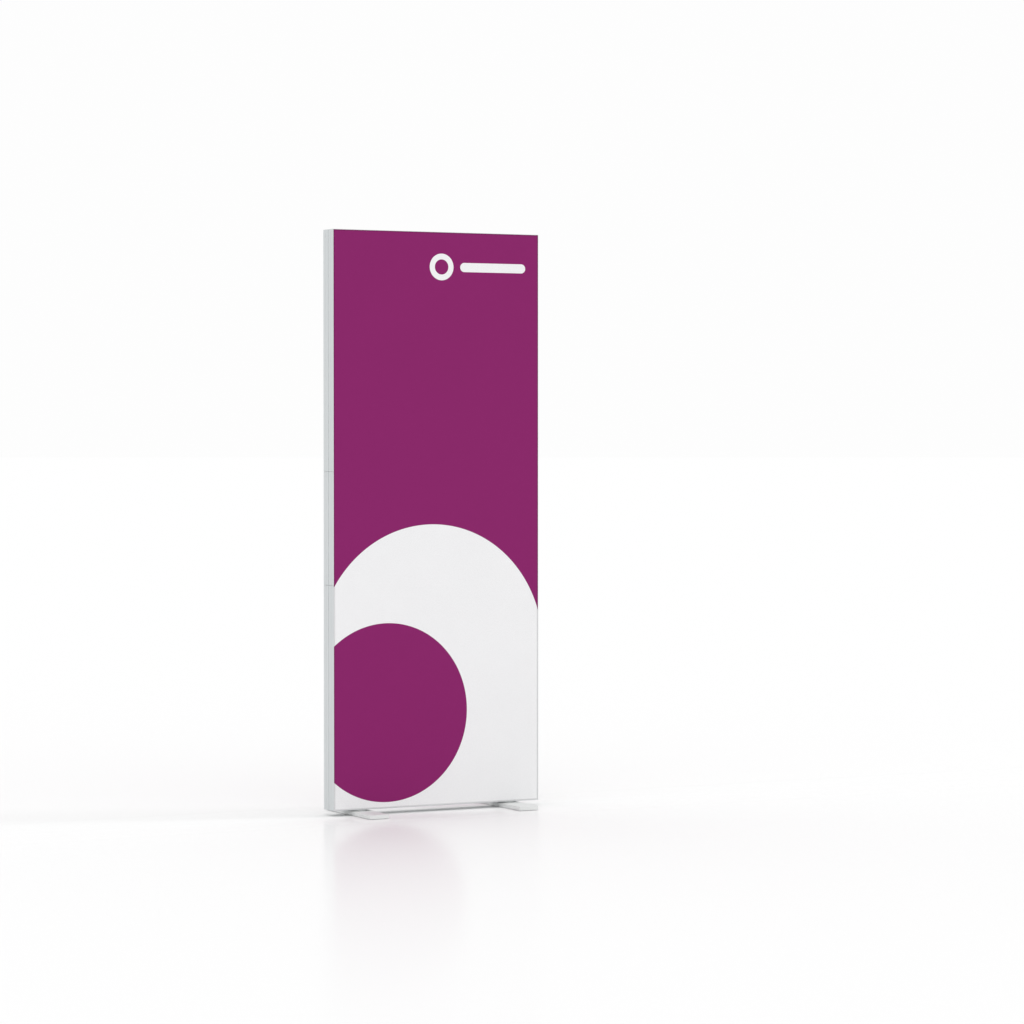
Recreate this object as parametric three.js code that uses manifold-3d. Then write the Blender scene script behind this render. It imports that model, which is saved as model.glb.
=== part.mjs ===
// A free-standing display stand: a deep aluminium frame with a fabric face stretched over the
// front and the back, light bars inside its posts, and two flat feet that swivel underneath.
// Millimetres, +X right, +Y to the back, +Z up. The origin is on the floor, under the middle.

import * as THREE from 'three';
import { mergeVertices } from 'three/addons/utils/BufferGeometryUtils.js';
import Module from 'manifold-3d';

// Overall sizes
const frameWidth = 1000;
const frameHeight = 2500;
const frameDepth = 100;
const floorGap = 25; // floor to the underside of the bottom rail

// Post lengths, from the bottom; the upper one takes what is left
const lowerPostLength = 970;
const middlePostLength = 490;

// Extrusion that the posts and rails are cut from
const profileWidth = 32; // outer face to inner face
const outerWall = 2.6;
const wall = 2.4;
const lipWall = 1.8; // the thin lip round the fabric
const ledgeWall = 1.8; // the ledge that the fabric turns over
const centreGrooveWidth = 2.4;
const centreGrooveDepth = 1;
const sideGrooveWidth = 1.2;
const sideGrooveDepth = 0.6;
const sideGroovePlace = 25; // from the middle of the outer face

// Fabric and the silicone strips sewn to its edges
const fabricThickness = 0.8;
const stripThickness = 3;
const stripHeight = 12.4;

// Clearances
const restGap = 0.3; // between pieces that touch
const stripPlay = 0.2; // each side of a strip in its channel
const pivotPlay = 0.5; // round a shaft that its part turns on
const screwPlay = 0.3; // round a screw

// Corner brackets and splices, inside the chambers
const bracketReach = 85;
const bracketWeb = 4;
const bracketRib = 5;
const spliceLength = 240;
const spliceWall = 3;
const spliceScrewRadius = 3;
const spliceScrewHead = 7;
const spliceScrewHeadHeight = 6;
const spliceScrewPlace = 22; // behind the middle of the post
const spliceScrewRise = 60; // above the seam

// Light bars
const ledWidth = 22;
const ledBase = 3;
const ledLensRadius = 8;
const ledLensTip = 5.5;
const ledLensHeight = 6;
const ledPitch = 90;
const ledEndMargin = 50;
const ledPlugHeight = 12; // along the post
const ledPlugWidth = 18;
const ledPlugDepth = 8;
const ledStart = 240; // above the floor
const ledTopMargin = 55; // below the top rail

// Driver on the bottom rail
const driverLength = 200;
const driverWidth = 42;
const driverHeight = 30;
const driverOffset = 68; // from the right post's inner face
const bracketSheet = 1.5;
const driverBracketLength = 150;
const driverBracketHeight = 22;

// Mains inlet and rocker switch in the right lower post
const inletCentre = 170; // above the floor
const inletWidth = 32;
const inletHeight = 50;
const inletSetBack = 0.4;
const inletFlange = 3;
const inletFlangeThickness = 2;
const inletBodyInset = 1;
const inletBodyDepth = 25;
const plugWidth = 24.6;
const plugHeight = 16.6;
const plugCorner = 4;
const plugDepth = 16;
const plugDrop = 10; // plug recess below the middle of the module
const pinWidth = 4;
const pinThickness = 2;
const pinLength = 9;
const pinSpread = 7;
const pinRise = 2;
const rockerLength = 17.6;
const rockerThickness = 12.4;
const rockerWindow = 20;
const rockerRise = 13.5; // above the middle of the module
const rockerSetBack = 3.2;
const rockerCrown = 1.6;
const rockerPivotDepth = 6;
const rockerTilt = 7; // degrees each way
const rockerPocketDepth = 19;
const trunnionRadius = 1.5;
const trunnionLength = 1.5;

// Leads inside the frame
const mainsLeadRadius = 3.5;
const leadRadius = 2.5;
const leadBend = 22;
const leadHole = 4.6;
const mainsLeadPlace = -8; // in depth
const leadPlace = 6;
const leadSides = 8;
const leadStep = 13;

// Feet
const footWidth = 92;
const footLength = 440;
const footHeight = 19; // floor to the top of the cover
const footInset = 137; // pivot from the end of the frame
const footCorner = 8;
const footChamfer = 2;
const coverWall = 3;
const padProud = 1.5;
const padWidth = 70;
const padLength = 34;
const padSeat = 1;
const padInset = 34; // pad's middle from the foot's end
const padCorner = 8;
const baseThickness = 6;
const pivotRadius = 5;
const pivotHead = 9;
const pivotHeadHeight = 3;
const pivotHeadRecess = 2; // above the underside of the base
const washerRadius = 20;
const nutPlateSize = 56;
const nutPlateThickness = 8;

// Roundness
const roundSides = 24;
const smallSides = 12;
const cornerSteps = 3;

// How far joined shapes run into each other, and cuts run past a face
const overrun = 1;

// Worked out from the sizes above
const halfWidth = frameWidth / 2;
const halfDepth = frameDepth / 2;
const frameTop = floorGap + frameHeight;
const lowerSeam = floorGap + lowerPostLength;
const upperSeam = lowerSeam + middlePostLength;
const channelWidth = stripThickness + 2 * stripPlay;
const channelDepth = fabricThickness + restGap + stripHeight + restGap;
const chamberInner = profileWidth - wall;
const chamberHalf = halfDepth - channelDepth - wall;
const mitreShift = restGap / Math.SQRT2;
const innerFace = halfWidth - profileWidth;
const railTop = floorGap + profileWidth;
const footPlace = halfWidth - footInset;

const wasm = await Module();
wasm.setup();

const finishes = {
  anodised: { color: 0xcdd0d0, roughness: 0.42, metalness: 0.9 },
  castAluminium: { color: 0xa8abad, roughness: 0.55, metalness: 0.9 },
  zincSteel: { color: 0xb4b7ba, roughness: 0.4, metalness: 0.95 },
  fabric: { color: 0x8a2b6c, roughness: 0.9, metalness: 0 },
  silicone: { color: 0xe4e4e0, roughness: 0.5, metalness: 0 },
  ledBoard: { color: 0xf2f2ee, roughness: 0.45, metalness: 0 },
  driverPaint: { color: 0xe6e6e4, roughness: 0.5, metalness: 0 },
  blackNylon: { color: 0x1c1d1f, roughness: 0.45, metalness: 0 },
  leadSheath: { color: 0xdedede, roughness: 0.55, metalness: 0 },
  footPaint: { color: 0xe4e5e4, roughness: 0.48, metalness: 0 },
  baseSteel: { color: 0x54575a, roughness: 0.6, metalness: 0.6 },
  padRubber: { color: 0x242526, roughness: 0.85, metalness: 0 },
};
const materials = {};
for (const [name, values] of Object.entries(finishes)) {
  materials[name] = new THREE.MeshStandardMaterial({ name, ...values });
}

const stand = new THREE.Group();
stand.name = 'display_stand';

function add(name, geometry, finish, place = [0, 0, 0], turn = [0, 0, 0]) {
  const mesh = new THREE.Mesh(geometry, materials[finish]);
  mesh.name = name;
  mesh.position.set(...place);
  mesh.rotation.set(...turn);
  stand.add(mesh);
  return mesh;
}

// Solids: joining and cutting

function toSolid(geometry) {
  const bare = geometry.clone();
  bare.deleteAttribute('normal');
  bare.deleteAttribute('uv');
  const merged = mergeVertices(bare, 1e-4);
  return new wasm.Manifold(new wasm.Mesh({
    numProp: 3,
    vertProperties: Float32Array.from(merged.attributes.position.array),
    triVerts: Uint32Array.from(merged.index.array),
  }));
}

function toGeometry(solid) {
  const mesh = solid.getMesh();
  const geometry = new THREE.BufferGeometry();
  geometry.setAttribute('position', new THREE.BufferAttribute(mesh.vertProperties, 3));
  geometry.setIndex(new THREE.BufferAttribute(mesh.triVerts, 1));
  geometry.computeVertexNormals();
  return geometry;
}

function cut(geometry, tools) {
  let solid = toSolid(geometry);
  for (const tool of tools) {
    solid = solid.subtract(toSolid(tool));
  }
  return toGeometry(solid);
}

function join(geometry, others) {
  let solid = toSolid(geometry);
  for (const other of others) {
    solid = solid.add(toSolid(other));
  }
  return toGeometry(solid);
}

// Plain shapes, placed by their corners or ends

function block([x0, x1], [y0, y1], [z0, z1]) {
  const geometry = new THREE.BoxGeometry(x1 - x0, y1 - y0, z1 - z0);
  geometry.translate((x0 + x1) / 2, (y0 + y1) / 2, (z0 + z1) / 2);
  return geometry;
}

function rodAlongZ(radius, [z0, z1], x = 0, y = 0, sides = roundSides) {
  const geometry = new THREE.CylinderGeometry(radius, radius, z1 - z0, sides);
  geometry.rotateX(Math.PI / 2);
  geometry.translate(x, y, (z0 + z1) / 2);
  return geometry;
}

function rodAlongX(radius, [x0, x1], y, z, sides = roundSides) {
  const geometry = new THREE.CylinderGeometry(radius, radius, x1 - x0, sides);
  geometry.rotateZ(Math.PI / 2);
  geometry.translate((x0 + x1) / 2, y, z);
  return geometry;
}

function outline(points) {
  return new THREE.Shape(points.map(([x, y]) => new THREE.Vector2(x, y)));
}

function extrude(shape, [z0, z1]) {
  const geometry = new THREE.ExtrudeGeometry(shape, {
    depth: z1 - z0,
    bevelEnabled: false,
    curveSegments: cornerSteps,
  });
  geometry.translate(0, 0, z0);
  return geometry;
}

function roundedRectangle(width, length, radius) {
  const shape = new THREE.Shape();
  const x = width / 2 - radius;
  const y = length / 2 - radius;
  shape.absarc(x, y, radius, 0, Math.PI / 2, false);
  shape.absarc(-x, y, radius, Math.PI / 2, Math.PI, false);
  shape.absarc(-x, -y, radius, Math.PI, 1.5 * Math.PI, false);
  shape.absarc(x, -y, radius, 1.5 * Math.PI, 2 * Math.PI, false);
  return shape;
}

function ring(outerRadius, innerRadius, [z0, z1]) {
  return cut(rodAlongZ(outerRadius, [z0, z1]), [rodAlongZ(innerRadius, [z0 - overrun, z1 + overrun])]);
}

// A turned piece with its axis along Z; the profile is [radius, height] from the bottom up
function turned(profile) {
  const points = profile.map(([radius, height]) => new THREE.Vector2(radius, height));
  const geometry = new THREE.LatheGeometry(points, roundSides);
  geometry.rotateX(Math.PI / 2);
  return geometry;
}

// Extrusion: x runs inwards from the outer face, y through the depth, z along the length

function profileShape() {
  const channelFloor = halfDepth - channelDepth;
  const channelInner = lipWall + channelWidth;
  const ledgeInner = channelInner + ledgeWall;
  const ledgeTop = halfDepth - fabricThickness - restGap;
  const grooveNear = sideGroovePlace - sideGrooveWidth / 2;
  const grooveFar = sideGroovePlace + sideGrooveWidth / 2;
  const rearHalf = [
    [centreGrooveDepth, centreGrooveWidth / 2],
    [0, centreGrooveWidth / 2],
    [0, grooveNear],
    [sideGrooveDepth, grooveNear],
    [sideGrooveDepth, grooveFar],
    [0, grooveFar],
    [0, halfDepth],
    [lipWall, halfDepth],
    [lipWall, channelFloor],
    [channelInner, channelFloor],
    [channelInner, ledgeTop],
    [ledgeInner, ledgeTop],
    [ledgeInner, channelFloor],
    [profileWidth, channelFloor],
  ];
  const frontHalf = rearHalf.map(([x, y]) => [x, -y]).reverse();
  const shape = outline([...rearHalf, ...frontHalf]);
  shape.holes.push(outline([
    [outerWall, -chamberHalf],
    [chamberInner, -chamberHalf],
    [chamberInner, chamberHalf],
    [outerWall, chamberHalf],
  ]));
  return shape;
}

// One length of the extrusion; a mitred end slopes at 45 degrees, a square end leaves half a seam
function profileLength(length, startMitred, endMitred) {
  const geometry = extrude(profileShape(), [0, length]);
  const position = geometry.attributes.position;
  for (let i = 0; i < position.count; i += 1) {
    const atStart = position.getZ(i) < length / 2;
    const mitred = atStart ? startMitred : endMitred;
    const inset = mitred ? position.getX(i) + mitreShift : restGap / 2;
    position.setZ(i, atStart ? inset : length - inset);
  }
  return geometry;
}

// A hole through the inner face of a length, for a splice's screw
function spliceScrewHole(along) {
  return rodAlongX(
    spliceScrewRadius + screwPlay,
    [chamberInner - overrun, profileWidth + overrun],
    spliceScrewPlace,
    along,
    smallSides,
  );
}

const sides = [
  { name: 'left', x: -halfWidth, turn: 0, sign: 1 },
  { name: 'right', x: halfWidth, turn: Math.PI, sign: -1 },
];

// Places along a post turned to face the middle of the frame: depth runs the other way on the right
function addPosts(side) {
  const turn = [0, 0, side.turn];
  const middle = cut(profileLength(middlePostLength, false, false), [
    spliceScrewHole(spliceScrewRise),
  ]);
  const upper = cut(profileLength(frameTop - upperSeam, false, true), [
    spliceScrewHole(spliceScrewRise),
  ]);
  let lower = profileLength(lowerPostLength, true, false);
  if (side.name === 'right') {
    lower = cut(lower, inletCuts());
  }
  add(`post_${side.name}_lower`, lower, 'anodised', [side.x, 0, floorGap], turn);
  add(`post_${side.name}_middle`, middle, 'anodised', [side.x, 0, lowerSeam], turn);
  add(`post_${side.name}_upper`, upper, 'anodised', [side.x, 0, upperSeam], turn);
}

function addRails() {
  const pivotHoles = [-footPlace, footPlace].map((x) => rodAlongX(
    pivotRadius + screwPlay,
    [-overrun, outerWall + overrun],
    0,
    halfWidth - x,
  ));
  const bottom = cut(profileLength(frameWidth, true, true), pivotHoles);
  add('rail_bottom', bottom, 'anodised', [halfWidth, 0, floorGap], [0, -Math.PI / 2, 0]);
  const top = profileLength(frameWidth, true, true);
  add('rail_top', top, 'anodised', [-halfWidth, 0, frameTop], [0, Math.PI / 2, 0]);
}

// Corner brackets: a bent web along the outer walls with a rib at each side of the chamber

function angleShape(outer, inner) {
  return outline([
    [outer, outer],
    [bracketReach, outer],
    [bracketReach, inner],
    [inner, inner],
    [inner, bracketReach],
    [outer, bracketReach],
  ]);
}

function cornerBracket() {
  const outer = outerWall + restGap;
  const inner = chamberInner - restGap;
  const half = chamberHalf - restGap;
  const web = extrude(angleShape(outer, outer + bracketWeb), [-half, half]);
  const ribs = [[-half, bracketRib - half], [half - bracketRib, half]].map(
    (span) => extrude(angleShape(outer, inner), span),
  );
  const bracket = join(web, ribs);
  bracket.rotateX(Math.PI / 2);
  return bracket;
}

function addCornerBrackets() {
  const corners = [
    ['bottom_left', [-halfWidth, 0, floorGap], [0, 0, 0]],
    ['bottom_right', [halfWidth, 0, floorGap], [0, 0, Math.PI]],
    ['top_left', [-halfWidth, 0, frameTop], [Math.PI, 0, 0]],
    ['top_right', [halfWidth, 0, frameTop], [0, Math.PI, 0]],
  ];
  for (const [name, place, turn] of corners) {
    add(`corner_bracket_${name}`, cornerBracket(), 'castAluminium', place, turn);
  }
}

// Splices: a short rectangular tube inside each seam, with a thumbscrew through the inner face

function splice() {
  const outer = outerWall + restGap;
  const inner = chamberInner - restGap;
  const half = chamberHalf - restGap;
  const shape = outline([[outer, -half], [inner, -half], [inner, half], [outer, half]]);
  shape.holes.push(outline([
    [outer + spliceWall, spliceWall - half],
    [inner - spliceWall, spliceWall - half],
    [inner - spliceWall, half - spliceWall],
    [outer + spliceWall, half - spliceWall],
  ]));
  const tube = extrude(shape, [-spliceLength / 2, spliceLength / 2]);
  const hole = rodAlongX(
    spliceScrewRadius + screwPlay,
    [inner - spliceWall - overrun, inner + overrun],
    spliceScrewPlace,
    spliceScrewRise,
    smallSides,
  );
  return cut(tube, [hole]);
}

function spliceScrew() {
  const headBase = profileWidth + restGap;
  const shank = rodAlongX(
    spliceScrewRadius,
    [chamberInner - restGap - 2 * spliceWall, headBase + overrun],
    0,
    0,
    smallSides,
  );
  const head = rodAlongX(spliceScrewHead, [headBase, headBase + spliceScrewHeadHeight], 0, 0);
  return join(shank, [head]);
}

function addSplices(side) {
  const turn = [0, 0, side.turn];
  for (const [name, seam] of [['lower', lowerSeam], ['upper', upperSeam]]) {
    add(`splice_${side.name}_${name}`, splice(), 'castAluminium', [side.x, 0, seam], turn);
    const place = [side.x, side.sign * spliceScrewPlace, seam + spliceScrewRise];
    add(`splice_screw_${side.name}_${name}`, spliceScrew(), 'zincSteel', place, turn);
  }
}

// Fabric faces, and the silicone strip along each edge, which sits in the channel under the lip

function addFabricFace(name, sign) {
  const halfFabric = halfWidth - lipWall - stripPlay;
  const fabricLow = floorGap + lipWall + stripPlay;
  const fabricHigh = frameTop - lipWall - stripPlay;
  const face = sign * halfDepth;
  const back = sign * (halfDepth - fabricThickness);
  const spanY = [Math.min(face, back), Math.max(face, back)];
  const sheet = block([-halfFabric, halfFabric], spanY, [fabricLow, fabricHigh]);
  add(`fabric_${name}`, sheet, 'fabric');

  const stripTop = sign * (halfDepth - fabricThickness - restGap);
  const stripFoot = stripTop - sign * stripHeight;
  const stripY = [Math.min(stripTop, stripFoot), Math.max(stripTop, stripFoot)];
  const near = halfFabric;
  const far = halfFabric - stripThickness;
  const shortened = far - restGap;
  const strips = {
    left: block([-near, -far], stripY, [fabricLow, fabricHigh]),
    right: block([far, near], stripY, [fabricLow, fabricHigh]),
    bottom: block([-shortened, shortened], stripY, [fabricLow, fabricLow + stripThickness]),
    top: block([-shortened, shortened], stripY, [fabricHigh - stripThickness, fabricHigh]),
  };
  for (const [edge, strip] of Object.entries(strips)) {
    add(`edge_strip_${name}_${edge}`, strip, 'silicone');
  }
}

// Light bars: a strip with a row of lenses and a plug block at each end

function ledBar(length) {
  const near = profileWidth + restGap;
  const base = block([near, near + ledBase], [-ledWidth / 2, ledWidth / 2], [0, length]);
  const plugX = [near, near + ledPlugDepth];
  const plugY = [-ledPlugWidth / 2, ledPlugWidth / 2];
  const extras = [
    block(plugX, plugY, [0, ledPlugHeight]),
    block(plugX, plugY, [length - ledPlugHeight, length]),
  ];
  const run = length - 2 * ledEndMargin;
  const gaps = Math.max(1, Math.round(run / ledPitch));
  for (let i = 0; i <= gaps; i += 1) {
    const height = ledLensHeight + overrun;
    const lens = new THREE.CylinderGeometry(ledLensRadius, ledLensTip, height, smallSides);
    lens.rotateZ(Math.PI / 2);
    lens.translate(near + ledBase + ledLensHeight - height / 2, 0, ledEndMargin + (run * i) / gaps);
    extras.push(lens);
  }
  return join(base, extras);
}

function addLedBars(side) {
  const stretches = [
    ['lower', ledStart, lowerSeam],
    ['middle', lowerSeam, upperSeam],
    ['upper', upperSeam, frameTop - profileWidth - ledTopMargin],
  ];
  for (const [name, low, high] of stretches) {
    const length = high - low - restGap;
    const place = [side.x, 0, low + restGap / 2];
    add(`led_bar_${side.name}_${name}`, ledBar(length), 'ledBoard', place, [0, 0, side.turn]);
  }
}

// Driver in its folded bracket, on the bottom rail

const driverRight = innerFace - driverOffset;
const driverLeft = driverRight - driverLength;
const driverFloor = railTop + restGap + bracketSheet + restGap;
const driverLead = driverFloor + driverHeight / 2;

function addDriver() {
  const half = driverWidth / 2;
  const driver = block([driverLeft, driverRight], [-half, half], [driverFloor, driverFloor + driverHeight]);
  add('driver', driver, 'driverPaint');

  const inside = half + restGap;
  const outside = inside + bracketSheet;
  const floor = railTop + restGap;
  const section = outline([
    [-outside, floor],
    [outside, floor],
    [outside, floor + driverBracketHeight],
    [inside, floor + driverBracketHeight],
    [inside, floor + bracketSheet],
    [-inside, floor + bracketSheet],
    [-inside, floor + driverBracketHeight],
    [-outside, floor + driverBracketHeight],
  ]);
  const middle = (driverLeft + driverRight) / 2;
  const bracket = extrude(section, [-driverBracketLength / 2, driverBracketLength / 2]);
  bracket.rotateX(Math.PI / 2);
  bracket.rotateZ(Math.PI / 2);
  bracket.translate(middle, 0, 0);
  add('driver_bracket', bracket, 'zincSteel');
}

// Mains inlet and rocker, drawn with x inwards from the post's outer face, as the post is

const inletAlong = inletCentre - floorGap; // up the lower post
const plugAlong = inletAlong - plugDrop;
const rockerAlong = inletAlong + rockerRise;

function span(middle, size) {
  return [middle - size / 2, middle + size / 2];
}

// The post is turned half a turn, so its depth runs the other way round
function inletCuts() {
  const windowDepth = [-overrun, outerWall + overrun];
  const windowSize = inletWidth + 2 * restGap;
  const window = block(windowDepth, span(0, windowSize), span(inletAlong, inletHeight + 2 * restGap));
  const throughInner = [chamberInner - overrun, profileWidth + overrun];
  const leadWay = rodAlongX(leadHole, throughInner, -mainsLeadPlace, plugAlong);
  return [window, leadWay];
}

function plugRecess() {
  const half = plugWidth / 2;
  const low = plugAlong - plugHeight / 2;
  const high = plugAlong + plugHeight / 2;
  const section = outline([
    [-half, low],
    [half, low],
    [half, high - plugCorner],
    [half - plugCorner, high],
    [plugCorner - half, high],
    [-half, high - plugCorner],
  ]);
  const recess = extrude(section, [-overrun, inletSetBack + plugDepth]);
  recess.rotateX(Math.PI / 2);
  recess.rotateZ(Math.PI / 2);
  return recess;
}

function inletHousing() {
  const flangeFront = outerWall + restGap;
  const bodyFront = flangeFront + inletFlangeThickness;
  const recessFloor = inletSetBack + plugDepth;
  const front = block(
    [inletSetBack, flangeFront + overrun],
    span(0, inletWidth),
    span(inletAlong, inletHeight),
  );
  const flange = block(
    [flangeFront, bodyFront],
    span(0, inletWidth + 2 * inletFlange),
    span(inletAlong, inletHeight + 2 * inletFlange),
  );
  const body = block(
    [bodyFront - overrun, inletBodyDepth],
    span(0, inletWidth - 2 * inletBodyInset),
    span(inletAlong, inletHeight - 2 * inletBodyInset),
  );
  const pocket = block(
    [-overrun, rockerPocketDepth],
    span(0, rockerWindow),
    span(rockerAlong, rockerThickness + 2 * restGap),
  );
  const bearing = rodAlongZ(
    trunnionRadius + restGap,
    span(rockerAlong, rockerThickness + 2 * trunnionLength + 4 * restGap),
    rockerSetBack + rockerPivotDepth,
    0,
    smallSides,
  );
  const shell = cut(join(front, [flange, body]), [plugRecess(), pocket, bearing]);
  const pinPlaces = [[-pinSpread, -pinRise], [0, pinRise], [pinSpread, -pinRise]];
  const pins = pinPlaces.map(([across, rise]) => block(
    [recessFloor - pinLength, recessFloor + overrun],
    span(across, pinThickness),
    span(plugAlong + rise, pinWidth),
  ));
  return join(shell, pins);
}

// The rocker is drawn level round its pivot, with x outwards, then tipped to its resting side
function rocker() {
  const half = rockerLength / 2;
  const section = outline([
    [rockerPivotDepth, 0],
    [rockerPivotDepth + rockerCrown, half],
    [rockerPivotDepth / 2, half],
    [-rockerPivotDepth / 2, half / 2],
    [-rockerPivotDepth / 2, -half / 2],
    [rockerPivotDepth / 2, -half],
    [rockerPivotDepth + rockerCrown, -half],
  ]);
  const cap = extrude(section, span(0, rockerThickness));
  const axle = rodAlongZ(trunnionRadius, span(0, rockerThickness + 2 * trunnionLength), 0, 0, smallSides);
  return join(cap, [axle]);
}

function addInlet() {
  const turn = [0, 0, Math.PI];
  add('inlet_housing', inletHousing(), 'blackNylon', [halfWidth, 0, floorGap], turn);
  const pivotX = halfWidth - rockerSetBack - rockerPivotDepth;
  const tilt = THREE.MathUtils.degToRad(-rockerTilt);
  add('rocker_switch', rocker(), 'blackNylon', [pivotX, 0, floorGap + rockerAlong], [0, 0, tilt]);
}

// Leads: straight runs with a rounded bend at each corner of the route

function leadPath(corners) {
  const points = corners.map((corner) => new THREE.Vector3(...corner));
  const path = new THREE.CurvePath();
  let from = points[0];
  for (let i = 1; i < points.length - 1; i += 1) {
    const back = points[i - 1].clone().sub(points[i]);
    const ahead = points[i + 1].clone().sub(points[i]);
    const trim = Math.min(leadBend, back.length() / 2, ahead.length() / 2);
    const enter = points[i].clone().add(back.setLength(trim));
    const leave = points[i].clone().add(ahead.setLength(trim));
    path.add(new THREE.LineCurve3(from, enter));
    path.add(new THREE.QuadraticBezierCurve3(enter, points[i], leave));
    from = leave;
  }
  path.add(new THREE.LineCurve3(from, points[points.length - 1]));
  return path;
}

function lead(corners, radius) {
  const section = new THREE.Shape();
  section.absarc(0, 0, radius, 0, 2 * Math.PI, false);
  const path = leadPath(corners);
  return new THREE.ExtrudeGeometry(section, {
    steps: Math.ceil(path.getLength() / leadStep),
    curveSegments: leadSides / 2,
    extrudePath: path,
    bevelEnabled: false,
  });
}

function addLeads() {
  const plugHigh = floorGap + plugAlong;
  const mains = [
    [halfWidth - inletBodyDepth - restGap, mainsLeadPlace, plugHigh],
    [driverRight + driverOffset / 2, mainsLeadPlace, plugHigh],
    [driverRight + driverOffset / 2, mainsLeadPlace, driverLead],
    [driverRight + restGap, mainsLeadPlace, driverLead],
  ];
  add('mains_lead', lead(mains, mainsLeadRadius), 'blackNylon');

  const ledPlug = innerFace - restGap - ledPlugDepth / 2;
  const ledLow = ledStart + restGap / 2 - restGap;
  const onRail = railTop + restGap + leadRadius;
  const right = [
    [driverRight + restGap, leadPlace, driverLead],
    [ledPlug, leadPlace, driverLead],
    [ledPlug, leadPlace, ledLow],
  ];
  const left = [
    [driverLeft - restGap, leadPlace, driverLead],
    [driverLeft - 2 * leadBend, leadPlace, driverLead],
    [driverLeft - 3 * leadBend, leadPlace, onRail],
    [-ledPlug, leadPlace, onRail],
    [-ledPlug, leadPlace, ledLow],
  ];
  add('lead_right', lead(right, leadRadius), 'leadSheath');
  add('lead_left', lead(left, leadRadius), 'leadSheath');
}

// Feet: a painted cover over a steel base, with rubber pads, turning on a bolt into the bottom rail

const baseLow = padProud;
const baseHigh = baseLow + baseThickness;
const headLow = baseLow + pivotHeadRecess;

function footCover() {
  const shape = roundedRectangle(
    footWidth - 2 * footChamfer,
    footLength - 2 * footChamfer,
    footCorner - footChamfer,
  );
  const slab = new THREE.ExtrudeGeometry(shape, {
    depth: footHeight - padProud - 2 * footChamfer,
    bevelThickness: footChamfer,
    bevelSize: footChamfer,
    bevelSegments: 1,
    curveSegments: cornerSteps,
  });
  slab.translate(0, 0, padProud + footChamfer);
  const inside = roundedRectangle(
    footWidth - 2 * coverWall,
    footLength - 2 * coverWall,
    footCorner - coverWall,
  );
  const pocket = extrude(inside, [padProud - overrun, footHeight - coverWall]);
  const shaftHole = rodAlongZ(pivotRadius + pivotPlay, [padProud, footHeight + overrun]);
  return cut(slab, [pocket, shaftHole]);
}

function padOutline(margin) {
  return roundedRectangle(padWidth + 2 * margin, padLength + 2 * margin, padCorner + margin);
}

function footBase() {
  const shape = roundedRectangle(
    footWidth - 2 * coverWall - 2 * restGap,
    footLength - 2 * coverWall - 2 * restGap,
    footCorner - coverWall - restGap,
  );
  const plate = extrude(shape, [baseLow, baseHigh]);
  const boss = rodAlongZ(washerRadius, [baseHigh - overrun, footHeight - coverWall - restGap]);
  const seats = [-1, 1].map((end) => {
    const seat = extrude(padOutline(stripPlay), [baseLow - overrun, baseLow + padSeat]);
    seat.translate(0, end * (footLength / 2 - padInset), 0);
    return seat;
  });
  const shaftHole = rodAlongZ(pivotRadius + pivotPlay, [baseLow - overrun, footHeight]);
  const headHigh = headLow + pivotHeadHeight;
  const headRecess = rodAlongZ(pivotHead + pivotPlay, [baseLow - overrun, headHigh + restGap]);
  return cut(join(plate, [boss]), [...seats, shaftHole, headRecess]);
}

function addFoot(side) {
  const x = side.sign * -footPlace;
  const at = [x, 0, 0];
  const name = `foot_${side.name}`;
  add(`${name}_cover`, footCover(), 'footPaint', at);
  add(`${name}_base`, footBase(), 'baseSteel', at);
  for (const [end, sign] of [['front', -1], ['rear', 1]]) {
    const pad = extrude(padOutline(0), [0, baseLow + padSeat - restGap]);
    const place = [x, sign * (footLength / 2 - padInset), 0];
    add(`${name}_pad_${end}`, pad, 'padRubber', place);
  }
  const washer = ring(washerRadius, pivotRadius + screwPlay, [
    footHeight + restGap,
    floorGap - restGap,
  ]);
  add(`${name}_washer`, washer, 'padRubber', at);
  const nutLow = floorGap + outerWall + restGap;
  const nutHigh = nutLow + nutPlateThickness;
  const bolt = turned([
    [0, headLow],
    [pivotHead, headLow],
    [pivotHead, headLow + pivotHeadHeight],
    [pivotRadius, headLow + pivotHeadHeight],
    [pivotRadius, nutHigh],
    [0, nutHigh],
  ]);
  add(`${name}_pivot_bolt`, bolt, 'zincSteel', at);
  const half = nutPlateSize / 2;
  const plate = block([-half, half], [-half, half], [nutLow, nutHigh]);
  const nut = cut(plate, [rodAlongZ(pivotRadius + screwPlay, [nutLow - overrun, nutHigh + overrun])]);
  add(`${name}_nut_plate`, nut, 'zincSteel', at);
}

addRails();
addCornerBrackets();
addFabricFace('front', -1);
addFabricFace('rear', 1);
for (const side of sides) {
  addPosts(side);
  addSplices(side);
  addLedBars(side);
  addFoot(side);
}
addDriver();
addInlet();
addLeads();

export default stand;
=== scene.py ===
import math

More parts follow.
